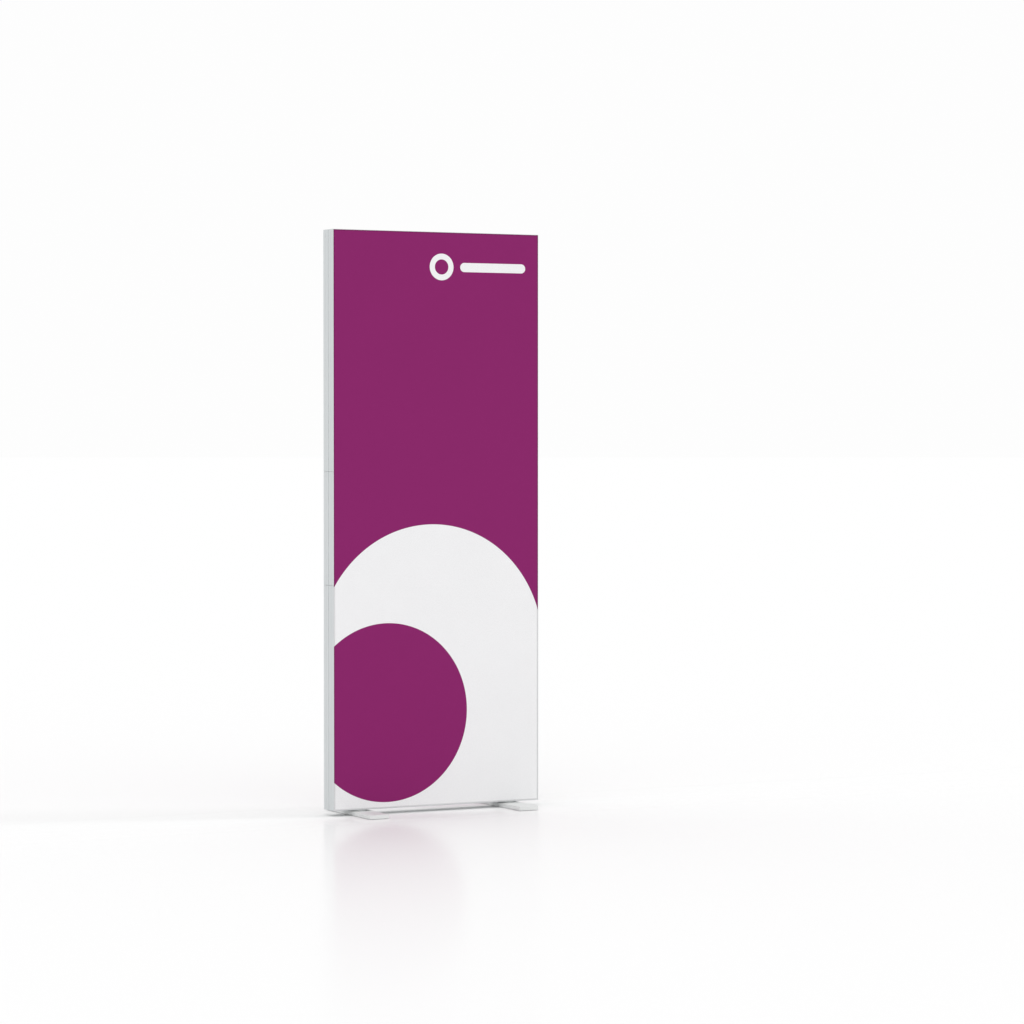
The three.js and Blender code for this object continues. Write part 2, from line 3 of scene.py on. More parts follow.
import bmesh
import bpy
import numpy as np
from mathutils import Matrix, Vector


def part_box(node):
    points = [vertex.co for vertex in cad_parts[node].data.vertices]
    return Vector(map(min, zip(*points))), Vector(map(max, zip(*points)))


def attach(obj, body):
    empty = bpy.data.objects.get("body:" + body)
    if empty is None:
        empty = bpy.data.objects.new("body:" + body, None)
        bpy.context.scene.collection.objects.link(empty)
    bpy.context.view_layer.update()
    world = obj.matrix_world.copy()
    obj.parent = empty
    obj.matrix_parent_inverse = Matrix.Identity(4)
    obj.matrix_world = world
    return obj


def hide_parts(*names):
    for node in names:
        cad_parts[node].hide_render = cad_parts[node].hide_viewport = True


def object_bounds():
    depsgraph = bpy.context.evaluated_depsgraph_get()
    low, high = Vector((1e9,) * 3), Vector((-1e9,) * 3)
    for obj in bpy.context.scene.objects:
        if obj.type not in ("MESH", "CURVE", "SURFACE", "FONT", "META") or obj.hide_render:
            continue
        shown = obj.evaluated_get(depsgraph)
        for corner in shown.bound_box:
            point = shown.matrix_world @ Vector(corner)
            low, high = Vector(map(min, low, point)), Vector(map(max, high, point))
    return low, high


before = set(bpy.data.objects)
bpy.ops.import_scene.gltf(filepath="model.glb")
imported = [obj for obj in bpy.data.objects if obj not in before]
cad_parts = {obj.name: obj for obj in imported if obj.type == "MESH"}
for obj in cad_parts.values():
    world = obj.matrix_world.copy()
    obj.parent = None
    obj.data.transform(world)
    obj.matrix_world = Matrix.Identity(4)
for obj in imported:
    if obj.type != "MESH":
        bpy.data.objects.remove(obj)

# A free-standing display stand: an anodised aluminium frame with printed fabric stretched over
# the front and the back, on two powder-coated feet. Sizes in the dictionaries are millimetres.
mm = 0.001
cadBounds = [list(corner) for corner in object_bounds()]
scene = bpy.context.scene
outerX = cadBounds[1][0]  # the frame's outer faces are at plus and minus this
sharpAngle = math.radians(30)  # edges that turn by more than this stay crisp


def linear(hexColour):
    # sRGB hex to linear colour, by the usual curve
    srgb = np.array([int(hexColour[i:i + 2], 16) for i in (1, 3, 5)]) / 255
    flat = np.where(srgb <= 0.04045, srgb / 12.92, ((srgb + 0.055) / 1.055) ** 2.4)
    return (*flat.tolist(), 1.0)


# camera, light and floor

view = {
    "place": (-6.89, -13.644, 1.67),  # metres; eye height of someone standing
    "turn": -28.099,  # degrees anticlockwise, seen from above
    "tip": -1.367,  # degrees above level
    "lens": 122.98,
    "farthest": 200,  # metres
}
camera = bpy.data.objects.new("camera", bpy.data.cameras.new("camera"))
camera.location = view["place"]
camera.rotation_euler = (math.radians(90 + view["tip"]), 0, math.radians(view["turn"]))
camera.data.lens = view["lens"]
camera.data.clip_end = view["farthest"]
scene.collection.objects.link(camera)
scene.camera = camera
scene.view_settings.view_transform = "Standard"
print("camera placed")


def addNode(tree, kind, inputs=None, **settings):
    # inputs: a socket's name or number to a value, a node (its first output) or (node, output)
    node = tree.nodes.new("ShaderNode" + kind)
    for name, value in settings.items():
        setattr(node, name, value)
    for name, value in (inputs or {}).items():
        if isinstance(value, bpy.types.Node):
            value = (value, 0)
        if isinstance(value, tuple) and isinstance(value[0], bpy.types.Node):
            tree.links.new(value[0].outputs[value[1]], node.inputs[name])
        else:
            node.inputs[name].default_value = value
    return node


def newMaterial(name):
    # a named material with a Principled shader, ready for nodes
    material = bpy.data.materials.new(name)
    material.use_nodes = True
    return material, material.node_tree, material.node_tree.nodes["Principled BSDF"]


def setShader(shader, **values):
    for name, value in values.items():
        shader.inputs[name.replace("_", " ")].default_value = value


studio = {
    "worldColour": "#FFFFFF",
    "worldStrength": 0.985,
    "floorColour": "#F7F7F7",
    "floorRoughness": 0.6,
    "floorSize": 400,  # metres
    "polish": 0.85,  # how well the floor mirrors at the stand
    "polishFade": 1.9,  # metres over which that falls to about a third
    "polishRoughness": 0.16,
    "dull": (0.05, 0.35),  # metres: dull up to here, fully polished from there
    "dullShare": 0.1,  # how much of the polish is left where it is dull
    "lights": [
        # towards the light, how wide it looks in degrees, strength
        ("key", (0.951, -0.311, 0.52), 9, 0.42),
        ("fill", (-0.35, -0.8, 0.9), 40, 0.12),
    ],
}


def makeLights():
    world = bpy.data.worlds.new("studio")
    scene.world = world
    world.use_nodes = True
    background = world.node_tree.nodes["Background"]
    background.inputs["Color"].default_value = linear(studio["worldColour"])
    background.inputs["Strength"].default_value = studio["worldStrength"]
    for name, towards, width, strength in studio["lights"]:
        light = bpy.data.lights.new(name, "SUN")
        light.angle = math.radians(width)
        light.energy = strength
        lamp = bpy.data.objects.new(name, light)
        x, y, z = towards
        lamp.rotation_euler = (math.atan2(math.hypot(x, y), z), 0, math.atan2(x, -y))
        scene.collection.objects.link(lamp)


def makeFloor():
    # a polished pale floor: it mirrors the foot of the stand and blurs what is higher up
    material, tree, shader = newMaterial("polished pale studio floor")
    setShader(shader, Base_Color=linear(studio["floorColour"]),
              Roughness=studio["floorRoughness"], Specular_IOR_Level=0.0,
              Coat_Roughness=studio["polishRoughness"], Coat_IOR=1.5)
    # the polish falls off evenly with the distance in front of the stand or behind it, and right
    # under the stand the floor is dull
    place = addNode(tree, "TexCoord")
    parts = addNode(tree, "SeparateXYZ", {0: (place, "Object")})
    away = addNode(tree, "Math", {0: (parts, "Y")}, operation="ABSOLUTE")
    share = addNode(tree, "Math", {0: away, 1: -1 / studio["polishFade"]}, operation="MULTIPLY")
    fading = addNode(tree, "Math", {0: share}, operation="EXPONENT")
    dull = addNode(tree, "MapRange", {
        "Value": away, "From Min": studio["dull"][0], "From Max": studio["dull"][1],
        "To Min": studio["dullShare"] * studio["polish"], "To Max": studio["polish"]})
    polish = addNode(tree, "Math", {0: fading, 1: dull}, operation="MULTIPLY")
    tree.links.new(polish.outputs[0], shader.inputs["Coat Weight"])
    half = studio["floorSize"] / 2
    mesh = bpy.data.meshes.new("floor")
    corners = [(-half, -half, 0), (half, -half, 0), (half, half, 0), (-half, half, 0)]
    mesh.from_pydata(corners, [], [(0, 1, 2, 3)])
    mesh.materials.append(material)
    floor = bpy.data.objects.new("floor", mesh)
    scene.collection.objects.link(floor)


makeLights()
makeFloor()
print("studio made")


# shapes

def smoothFaces(mesh):
    mesh.shade_smooth()
    mesh.set_sharp_from_angle(angle=sharpAngle)


def addMesh(name, points, faces, ends=()):
    # points as an (n, 3) array in metres; each end is a set of vertex numbers, and the open edges
    # among them are filled
    mesh = bpy.data.meshes.new(name)
    mesh.from_pydata(points.tolist(), [], faces.tolist())
    work = bmesh.new()
    work.from_mesh(mesh)
    work.edges.ensure_lookup_table()
    for end in ends:
        rim = [e for e in work.edges if e.is_boundary and all(v.index in end for v in e.verts)]
        bmesh.ops.triangle_fill(work, use_beauty=True, use_dissolve=False, edges=rim)
    bmesh.ops.recalc_face_normals(work, faces=work.faces)
    work.to_mesh(mesh)
    work.free()
    smoothFaces(mesh)
    piece = bpy.data.objects.new(name, mesh)
    scene.collection.objects.link(piece)
    return piece


def gridFaces(rows, columns, closed=True, first=0):
    # quads between neighbouring rows of points; on a closed loop the last column meets the first
    row = np.arange(rows - 1)[:, None]
    column = np.arange(columns if closed else columns - 1)[None, :]
    after = (column + 1) % columns
    low, high = row * columns, (row + 1) * columns
    quads = np.stack([low + column, low + after, high + after, high + column], -1)
    return quads.reshape(-1, 4) + first


def roundedLoop(corners, steps=4):
    # corners as [x, y, radius]; each corner becomes an arc that touches both its sides: the arc's
    # middle lies radius / sin(half the angle) along the bisector, and its points turn evenly
    data = np.array(corners, float)
    smallest = 1e-4
    corner, radius = data[:, :2], np.maximum(data[:, 2], smallest)
    back = np.roll(corner, 1, 0) - corner
    ahead = np.roll(corner, -1, 0) - corner
    back /= np.linalg.norm(back, axis=1)[:, None]
    ahead /= np.linalg.norm(ahead, axis=1)[:, None]
    half = np.arccos(np.clip((back * ahead).sum(1), -1, 1)) / 2
    bisector = (back + ahead) / np.linalg.norm(back + ahead, axis=1)[:, None]
    middle = corner + bisector * (radius / np.sin(half))[:, None]
    reach = (radius / np.tan(half))[:, None]
    start, stop = corner + back * reach - middle, corner + ahead * reach - middle
    sweep = (math.pi - 2 * half)[:, None, None]
    share = np.linspace(0, 1, steps + 1)[None, :, None]
    turned = np.sin((1 - share) * sweep) * start[:, None] + np.sin(share * sweep) * stop[:, None]
    return (middle[:, None] + turned / np.sin(sweep)).reshape(-1, 2)


def roundedRectangle(width, height, radius, middle=(0, 0), steps=6):
    x, y = width / 2, height / 2
    corners = [(x, -y, radius), (x, y, radius), (-x, y, radius), (-x, -y, radius)]
    return roundedLoop(corners, steps) + np.array(middle)


def evenAngles(count):
    return np.arange(count) * 2 * math.pi / count


def circleLoop(radius, count):
    angle = evenAngles(count)
    return np.stack([np.cos(angle), np.sin(angle)], 1) * radius


def insetDirections(loop):
    # for each corner, the way to its left that moves both of its sides in by one unit
    side = np.roll(loop, -1, 0) - loop
    side /= np.linalg.norm(side, axis=1)[:, None]
    after = np.stack([-side[:, 1], side[:, 0]], 1)
    before = np.roll(after, 1, 0)
    return (before + after) / (1 + (before * after).sum(1))[:, None]


def sweptSolid(name, loops, stations, place):
    # each loop is carried through the stations, [along, inset], moving into the material by the
    # inset, which has to be less than the radius of every outer corner; outer loops run
    # anticlockwise and holes clockwise; the two ends are filled
    stations = np.array(stations, float)
    points, faces, first = [], [], 0
    starts, stops = set(), set()
    for loop in loops:
        inwards = insetDirections(loop)
        u = loop[:, 0] + inwards[:, 0] * stations[:, 1:]
        v = loop[:, 1] + inwards[:, 1] * stations[:, 1:]
        along = np.broadcast_to(stations[:, :1], u.shape)
        points.append(np.stack(place(u, v, along), -1).reshape(-1, 3))
        rows, columns = u.shape
        faces.append(gridFaces(rows, columns, True, first))
        starts |= set(range(first, first + columns))
        stops |= set(range(first + (rows - 1) * columns, first + rows * columns))
        first += rows * columns
    return addMesh(name, np.concatenate(points), np.concatenate(faces), (starts, stops))


def roundedEnds(low, high, radius, steps=4):
    # stations whose ends are quarter rounds: the inset shrinks as the sine of an even turn
    turn = np.linspace(0, math.pi / 2, steps + 1)
    along, inset = radius * (1 - np.cos(turn)), radius * (1 - np.sin(turn))
    start = np.stack([low + along, inset], 1)
    stop = np.stack([high - along, inset], 1)[::-1]
    return np.concatenate([start, stop])


def turnedSolid(name, profile, count, place):
    # a closed profile of [radius, height, corner radius] carried round an axis
    loop = roundedLoop(profile)
    angle = evenAngles(count)
    x = np.cos(angle)[:, None] * loop[:, 0]
    y = np.sin(angle)[:, None] * loop[:, 0]
    z = np.broadcast_to(loop[:, 1], x.shape)
    points = np.stack(place(x, y, z), -1).reshape(-1, 3)
    faces = gridFaces(count, len(loop))
    # the last profile is joined to the first
    last = (count - 1) * len(loop)
    closing = gridFaces(2, len(loop))
    closing = np.where(closing < len(loop), closing + last, closing - len(loop))
    return addMesh(name, points, np.concatenate([faces, closing]))


def evenNormals(piece):
    # big flat faces keep their own direction, so that only the rounded edges shade
    piece.modifiers.new("even normals", "WEIGHTED_NORMAL").keep_sharp = True


def finishPiece(piece, body, material, replaced=()):
    piece.data.materials.clear()
    piece.data.materials.append(material)
    evenNormals(piece)
    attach(piece, body)
    if replaced:
        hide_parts(*replaced)


def nodeBox(node):
    # a CAD node's lowest and highest corner, in millimetres
    return (np.array(corner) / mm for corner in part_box(node))


# materials

noiseRange = {"From Min": 0.3, "From Max": 0.7}  # nearly all of a noise lies between these

aluminium = {
    "colours": ("#CED2D3", "#DCDFE0"),
    "across": 1000,  # lines to a metre: 1 mm apart, where the real ones are a tenth of that
    "along": 3,
    "lineDepth": 0.04,
    "satin": (0.4, 0.5),  # roughness, from line to line
    "patch": (-0.02, 0.03),  # what the soft patches add to it
    "patchScale": 7,
}


def anodisedAluminium(lengthAxis):
    # extruded aluminium, satin anodised: pale grey metal, die lines along its length and a
    # slightly uneven satin
    material, tree, shader = newMaterial(f"anodised aluminium along {lengthAxis}")
    place = addNode(tree, "TexCoord")
    stretch = [aluminium["along" if axis == lengthAxis else "across"] for axis in "XYZ"]
    lined = addNode(tree, "Mapping", {"Vector": (place, "Object"), "Scale": stretch})
    lines = addNode(tree, "TexNoise", {"Vector": lined, "Scale": 1, "Detail": 3})
    cloud = addNode(tree, "TexNoise", {
        "Vector": (place, "Object"), "Scale": aluminium["patchScale"], "Detail": 3})
    low, high = aluminium["satin"]
    satin = addNode(tree, "MapRange", {
        "Value": lines, **noiseRange, "To Min": low, "To Max": high})
    low, high = aluminium["patch"]
    patch = addNode(tree, "MapRange", {
        "Value": cloud, **noiseRange, "To Min": low, "To Max": high})
    rough = addNode(tree, "Math", {0: satin, 1: patch}, operation="ADD")
    dark, light = aluminium["colours"]
    colour = addNode(tree, "Mix", {
        "Factor": lines, 6: linear(dark), 7: linear(light)}, data_type="RGBA")
    bump = addNode(tree, "Bump", {
        "Height": lines, "Strength": 0.25, "Distance": aluminium["lineDepth"] * mm})
    setShader(shader, Metallic=1.0)
    tree.links.new(colour.outputs[2], shader.inputs["Base Color"])
    tree.links.new(rough.outputs[0], shader.inputs["Roughness"])
    tree.links.new(bump.outputs[0], shader.inputs["Normal"])
    return material


def speckled(name, dark, light, rough, grain, depth, metal=0.0, mottle=12):
    # a base finish: a fine grain (mm) for bump and gloss, and a soft mottle (per metre) for colour
    material, tree, shader = newMaterial(name)
    spread = 0.05  # of the roughness, either way
    place = addNode(tree, "TexCoord")
    fine = addNode(tree, "TexNoise", {
        "Vector": (place, "Object"), "Scale": 1 / (grain * mm), "Detail": 2})
    soft = addNode(tree, "TexNoise", {
        "Vector": (place, "Object"), "Scale": mottle, "Detail": 4, "Roughness": 0.6})
    colour = addNode(tree, "Mix", {
        "Factor": soft, 6: linear(dark), 7: linear(light)}, data_type="RGBA")
    gloss = addNode(tree, "MapRange", {
        "Value": fine, **noiseRange, "To Min": rough - spread, "To Max": rough + spread})
    bump = addNode(tree, "Bump", {"Height": fine, "Strength": 0.5, "Distance": depth * mm})
    setShader(shader, Metallic=metal)
    tree.links.new(colour.outputs[2], shader.inputs["Base Color"])
    tree.links.new(gloss.outputs[0], shader.inputs["Roughness"])
    tree.links.new(bump.outputs[0], shader.inputs["Normal"])
    return material


coat = {
    "colours": ("#DDDFDE", "#E6E8E7"),
    "scuffColour": "#A9ACAB",
    "scuffStrength": 0.5,
    "scuffFull": 2,  # as strong as that up to this height
    "scuffTop": 12,  # and gone at this height
    "scuffNoise": (0.55, 0.75),  # only the highest parts of the noise are scuffed
    "streaks": (60, 60, 500),  # to a metre: long and level
}


def powderCoat():
    # polyester powder coat on the feet: satin pale grey with a faint orange peel, and a little
    # grey scuffing low down where shoes and floor mops touch it
    material = speckled("satin powder coat", *coat["colours"], 0.42, 1.6, 0.05)
    tree = material.node_tree
    shader = tree.nodes["Principled BSDF"]
    place = addNode(tree, "TexCoord")
    parts = addNode(tree, "SeparateXYZ", {0: (place, "Object")})
    streak = addNode(tree, "Mapping", {"Vector": (place, "Object"), "Scale": coat["streaks"]})
    scuff = addNode(tree, "TexNoise", {"Vector": streak, "Scale": 1, "Detail": 5})
    low = addNode(tree, "MapRange", {
        "Value": (parts, "Z"), "From Min": coat["scuffTop"] * mm,
        "From Max": coat["scuffFull"] * mm, "To Min": 0, "To Max": coat["scuffStrength"]})
    start, stop = coat["scuffNoise"]
    marks = addNode(tree, "MapRange", {
        "Value": scuff, "From Min": start, "From Max": stop, "To Min": 0, "To Max": 1})
    amount = addNode(tree, "Math", {0: low, 1: marks}, operation="MULTIPLY")
    base = shader.inputs["Base Color"].links[0].from_node
    worn = addNode(tree, "Mix", {
        "Factor": amount, 6: (base, 2), 7: linear(coat["scuffColour"])}, data_type="RGBA")
    tree.links.new(worn.outputs[2], shader.inputs["Base Color"])
    return material


artwork = {
    "purple": "#841863",
    "white": "#ECECED",
    # each shape: from the left edge and from the floor to a second place, radius, white or purple
    "shapes": [
        (473, 703, 473, -400, 550, "white"),  # a wide arch
        (256, 440, 256, 440, 388, "purple"),  # a disc in front of it
        (521, 2373, 521, 2373, 58, "white"),  # a small ring near the top
        (521, 2373, 521, 2373, 33, "purple"),
        (632, 2373, 914, 2373, 20, "white"),  # a bar beside it
    ],
    "inkEdge": 0.4,
    "threadSpacing": 0.9,  # real threads are 0.4 apart; drawn wider so that they show close up
    "threadDepth": 0.2,
    "loopPaintedShade": (0.93, 1.07),
    # painted shade between the threads, darker and lighter with the rows of loops
    "cloudScale": 3.5,
    "cloudShade": (0.99, 1.01),
    "fleckScale": 160,
    "fleckShade": (0.97, 1.03),
    # a band along the edge darkened as painted shade, where the cloth turns into the channel: its
    # width, blur and shade
    "edgeShadeWidth": 5.5,
    "edgeShadeBlur": 0.7,
    "edgePaintedShade": 0.8,
}


def printedPolyester(name, sign):
    # dye-printed knitted polyester: matt, a little sheen, fine rows of loops with painted shade
    # between them, ink very slightly uneven in soft clouds and flecks; the hem round the edge is
    # doubled, and a band along it is darkened as painted shade where the cloth turns into the
    # channel
    material, tree, shader = newMaterial(f"printed polyester {name}")
    place = addNode(tree, "TexCoord")
    parts = addNode(tree, "SeparateXYZ", {0: (place, "Object")})
    side, up = (parts, "X"), (parts, "Z")
    # from the viewer's left edge
    across = addNode(tree, "Math", {0: side, 1: -sign, 2: outerX}, operation="MULTIPLY_ADD")

    # the print: each shape is every place nearer than its radius to the nearest place of a straight
    # stretch, and lies over the shapes before it
    white = 0.0
    inkEdge = artwork["inkEdge"] * mm
    here = addNode(tree, "CombineXYZ", {0: across, 2: up})
    for x, z, toX, toZ, radius, ink in artwork["shapes"]:
        nearX = addNode(tree, "Clamp", {
            "Value": across, "Min": min(x, toX) * mm, "Max": max(x, toX) * mm})
        nearZ = addNode(tree, "Clamp", {
            "Value": up, "Min": min(z, toZ) * mm, "Max": max(z, toZ) * mm})
        near = addNode(tree, "CombineXYZ", {0: nearX, 2: nearZ})
        away = addNode(tree, "VectorMath", {0: here, 1: near}, operation="DISTANCE")
        inside, way = (1, "MAXIMUM") if ink == "white" else (0, "MULTIPLY")
        share = addNode(tree, "MapRange", {
            "Value": (away, "Value"), "From Min": radius * mm - inkEdge,
            "From Max": radius * mm + inkEdge, "To Min": inside, "To Max": 1 - inside})
        white = addNode(tree, "Math", {0: white, 1: share}, operation=way)
    inked = addNode(tree, "Mix", {
        "Factor": white, 6: linear(artwork["purple"]), 7: linear(artwork["white"])},
        data_type="RGBA")

    # rows of loops, two crossed waves, for the bump and for painted shade between the threads;
    # and a soft cloud and fine flecks of ink
    turn = 2 * math.pi / (artwork["threadSpacing"] * mm)
    waves = []
    for value in (across, up):
        angle = addNode(tree, "Math", {0: value, 1: turn}, operation="MULTIPLY")
        waves.append(addNode(tree, "Math", {0: angle}, operation="SINE"))
    loops = addNode(tree, "Math", dict(enumerate(waves)), operation="MULTIPLY")
    cloud = addNode(tree, "TexNoise", {
        "Vector": (place, "Object"), "Scale": artwork["cloudScale"],
        "Detail": 5, "Roughness": 0.55})
    fleck = addNode(tree, "TexNoise", {
        "Vector": (place, "Object"), "Scale": artwork["fleckScale"],
        "Detail": 3, "Roughness": 0.6})

    # painted shade along the edge, where the cloth turns into the channel: by how near the closest
    # edge is
    low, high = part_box(f"fabric_{name}")
    gaps = []
    for value, axis in ((side, 0), (up, 2)):
        middle, half = (low[axis] + high[axis]) / 2, (high[axis] - low[axis]) / 2
        offset = addNode(tree, "Math", {0: value, 1: middle}, operation="SUBTRACT")
        distance = addNode(tree, "Math", {0: offset}, operation="ABSOLUTE")
        gaps.append(addNode(tree, "Math", {0: half, 1: distance}, operation="SUBTRACT"))
    nearest = addNode(tree, "Math", dict(enumerate(gaps)), operation="MINIMUM")
    edgeShadeWidth, edgeShadeBlur = artwork["edgeShadeWidth"] * mm, artwork["edgeShadeBlur"] * mm

    # each of them lightens or darkens the ink: the value, its range, and the shade at either end
    shade = 1.0
    for value, (start, stop), (first, last) in (
        (cloud, (0.3, 0.7), artwork["cloudShade"]),
        (fleck, (0.25, 0.75), artwork["fleckShade"]),
        # painted shade between the threads
        (loops, (-1, 1), artwork["loopPaintedShade"]),
        # painted shade along the edge, where the cloth turns into the channel
        (nearest, (edgeShadeWidth - edgeShadeBlur, edgeShadeWidth + edgeShadeBlur), (artwork["edgePaintedShade"], 1)),
    ):
        change = addNode(tree, "MapRange", {
            "Value": value, "From Min": start, "From Max": stop, "To Min": first, "To Max": last})
        shade = addNode(tree, "Math", {0: shade, 1: change}, operation="MULTIPLY")
    colour = addNode(tree, "VectorMath", {0: (inked, 2), "Scale": shade}, operation="SCALE")
    height = addNode(tree, "Math", {0: loops, 1: 0.5, 2: fleck}, operation="MULTIPLY_ADD")
    bump = addNode(tree, "Bump", {
        "Height": height, "Strength": 0.6, "Distance": artwork["threadDepth"] * mm})
    setShader(shader, Roughness=0.88, Sheen_Weight=0.08, Sheen_Roughness=0.5,
              Specular_IOR_Level=0.25)
    tree.links.new(colour.outputs[0], shader.inputs["Base Color"])
    tree.links.new(bump.outputs[0], shader.inputs["Normal"])
    return material


uprightAluminium = anodisedAluminium("Z")
levelAluminium = anodisedAluminium("X")
footCoat = powderCoat()
# die-cast aluminium, as cast: dull grey with a grainy skin
castAluminium = speckled("cast aluminium", "#8E9193", "#A9ACAE", 0.55, 0.8, 0.08, 1.0)
# steel, zinc plated: bright cool grey, faintly mottled
zincSteel = speckled("zinc plated steel", "#A4A8AC", "#C3C7CA", 0.32, 1.2, 0.02, 1.0, 90)
# brass, nickel plated: bright warm grey
nickelBrass = speckled("nickel plated brass", "#B9B6AD", "#CFCCC4", 0.25, 0.6, 0.01, 1.0, 150)
# steel plate under a dark primer: dull, slightly rough
primedSteel = speckled("primed steel plate", "#3D4043", "#4C5053", 0.6, 1.0, 0.05)
# natural rubber, moulded: dull black with a dusty bloom
padRubber = speckled("moulded rubber", "#1D1E1F", "#2B2C2D", 0.85, 0.7, 0.08, 0.0, 60)
# glass-filled nylon, moulded with a spark-eroded grain: dark, evenly satin
moulding = speckled("moulded nylon", "#17181A", "#1E1F21", 0.45, 0.5, 0.03, 0.0, 40)
# ABS, polished mould: black and glossy
glossy = speckled("polished ABS", "#0C0C0D", "#111112", 0.16, 2.5, 0.004, 0.0, 40)
# ABS marks, moulded in white
whiteMark = speckled("white ABS", "#E2E2DF", "#EDEDEA", 0.4, 0.8, 0.01, 0.0, 80)
# silicone, extruded: milky and slightly waxy
silicone = speckled("extruded silicone", "#D9D9D4", "#E6E6E1", 0.5, 1.5, 0.02, 0.0, 30)
# glass-epoxy board with white solder resist and moulded lenses
ledBoard = speckled("white solder resist", "#ECECE6", "#F6F6F2", 0.35, 1.0, 0.01, 0.0, 50)
# driver case, painted sheet aluminium
casePaint = speckled("case paint", "#DCDCDA", "#E6E6E4", 0.45, 1.4, 0.03)
# PVC sheath, extruded: smooth, soft gloss
paleSheath = speckled("pale PVC sheath", "#D2D2D0", "#DEDEDC", 0.42, 2.0, 0.02, 0.0, 70)
darkSheath = speckled("dark PVC sheath", "#191A1B", "#222324", 0.42, 2.0, 0.02, 0.0, 70)
print("materials made")


# the aluminium frame

section = {
    "width": 32, "halfDepth": 50, "outerWall": 2.6, "wall": 2.4, "chamberCorner": 1,
    "lip": 1.8, "channelTo": 5.2, "ledgeTo": 7.0,
    "channelDepth": 13.8, "ledgeBelow": 1.1,
    "grooveHalf": 1.8, "grooveDepth": 1.6,
    "sideGroove": 25, "sideGrooveHalf": 1.0, "sideGrooveDepth": 0.9,
    "edge": 0.9, "smallEdge": 0.4, "endChamfer": 0.3, "mitreChamfer": 0.15,
    "seam": 0.45,  # how far a butt end stands back, so that the seam reads as a dark line
}


def sectionLoops():
    # the section of the extrusion: inwards from the outer face, and through the depth
    s = section
    floor = s["halfDepth"] - s["channelDepth"]
    ledge = s["halfDepth"] - s["ledgeBelow"]
    small = s["smallEdge"]
    sideFrom, sideTo = s["sideGroove"] - s["sideGrooveHalf"], s["sideGroove"] + s["sideGrooveHalf"]
    rear = [
        (s["grooveDepth"], s["grooveHalf"], small),
        (0, s["grooveHalf"], small),
        (0, sideFrom, small),
        (s["sideGrooveDepth"], sideFrom, small),
        (s["sideGrooveDepth"], sideTo, small),
        (0, sideTo, small),
        (0, s["halfDepth"], s["edge"]),
        (s["lip"], s["halfDepth"], small),
        (s["lip"], floor, small),
        (s["channelTo"], floor, small),
        (s["channelTo"], ledge, small),
        (s["ledgeTo"], ledge, small),
        (s["ledgeTo"], floor, small),
        (s["width"], floor, small),
    ]
    front = [(x, -y, r) for x, y, r in reversed(rear)]
    outer = roundedLoop(rear + front)[::-1]
    wide = s["width"] - s["wall"] - s["outerWall"]
    middle = ((s["outerWall"] + s["width"] - s["wall"]) / 2, 0)
    chamber = roundedRectangle(wide, 2 * (floor - s["wall"]), s["chamberCorner"], middle)[::-1]
    return [outer, chamber]


def frameLength(node, mitredLow, mitredHigh, direction, material):
    # one length: the ends are chamfered, and a mitred end leans as far as it is from the outer face
    axis, placeAlong = direction
    chamferLow = section["mitreChamfer" if mitredLow else "endChamfer"]
    chamferHigh = section["mitreChamfer" if mitredHigh else "endChamfer"]
    low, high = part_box(node)
    start = low[axis] / mm + section["seam"] * (not mitredLow)
    stop = high[axis] / mm - section["seam"] * (not mitredHigh)
    middle = (start + stop) / 2
    stations = [
        (start, chamferLow), (start + chamferLow, 0),
        (stop - chamferHigh, 0), (stop, chamferHigh),
    ]

    def place(u, v, along):
        lean = np.where(along < middle, u * mitredLow, -u * mitredHigh)
        return placeAlong(u * mm, v * mm, (along + lean) * mm)

    piece = sweptSolid(node + "_extrusion", sectionLoops(), stations, place)
    finishPiece(piece, "frame", material, [node])
    return piece


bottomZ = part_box("rail_bottom")[0][2]
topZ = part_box("rail_top")[1][2]
# the axis that each side runs along, and the place of (inwards, through the depth, along)
directions = {
    "left": (2, lambda u, v, t: (u - outerX, v, t)),
    "right": (2, lambda u, v, t: (outerX - u, v, t)),
    "bottom": (0, lambda u, v, t: (t, v, bottomZ + u)),
    "top": (0, lambda u, v, t: (t, v, topZ - u)),
}
posts = {}
for side in ("left", "right"):
    for name, mitredLow, mitredHigh in (("lower", 1, 0), ("middle", 0, 0), ("upper", 0, 1)):
        node = f"post_{side}_{name}"
        posts[node] = frameLength(node, mitredLow, mitredHigh, directions[side], uprightAluminium)
for edge in ("bottom", "top"):
    frameLength(f"rail_{edge}", 1, 1, directions[edge], levelAluminium)
print("frame built")


# the fabric faces

cloth = {
    "thickness": 0.5,
    "fold": 0.7,  # radius where it turns into the channel
    "spare": 0.12,  # how much closer to the lip it lies than its CAD solid
    "relief": 9,  # how far in the pull of the edge shows
    "reliefDepth": 0.35,
    "deepest": 1.35,
    "turnIn": 12.4,  # sewn along the silicone strip on every edge
    "spacing": 22,
    "edgeLines": 7,  # across the fold, and again across the relief
    "crowding": 1.6,  # above 1, the lines of the relief stand closer towards the fold
}


def clothLines(low, high):
    # places across the cloth: even turns round both folds, closer lines near the edge, wider
    # between
    fold, relief = cloth["fold"] * mm, cloth["relief"] * mm
    turn = np.linspace(0, math.pi / 2, cloth["edgeLines"])
    arc = fold * (1 - np.sin(turn[::-1]))
    share = np.linspace(0, 1, cloth["edgeLines"])[1:]
    near = fold + (relief - fold) * share ** cloth["crowding"]
    count = int((high - low - 2 * relief) / (cloth["spacing"] * mm))
    middle = np.linspace(low + relief, high - relief, count)[1:-1]
    edge = np.concatenate([arc, near])
    return np.concatenate([low + edge, middle, (high - edge)[::-1]])


def clothDepth(gap):
    # how far behind the face: a quarter round at the fold, and a shallow dip that fades inwards
    fold, relief = cloth["fold"] * mm, cloth["relief"] * mm
    inFold = np.clip(1 - gap / fold, 0, 1)
    rounded = fold * (1 - np.sqrt(np.clip(1 - inFold ** 2, 0, 1)))
    dip = cloth["reliefDepth"] * mm * np.clip(1 - gap / relief, 0, 1) ** 2
    return rounded + dip


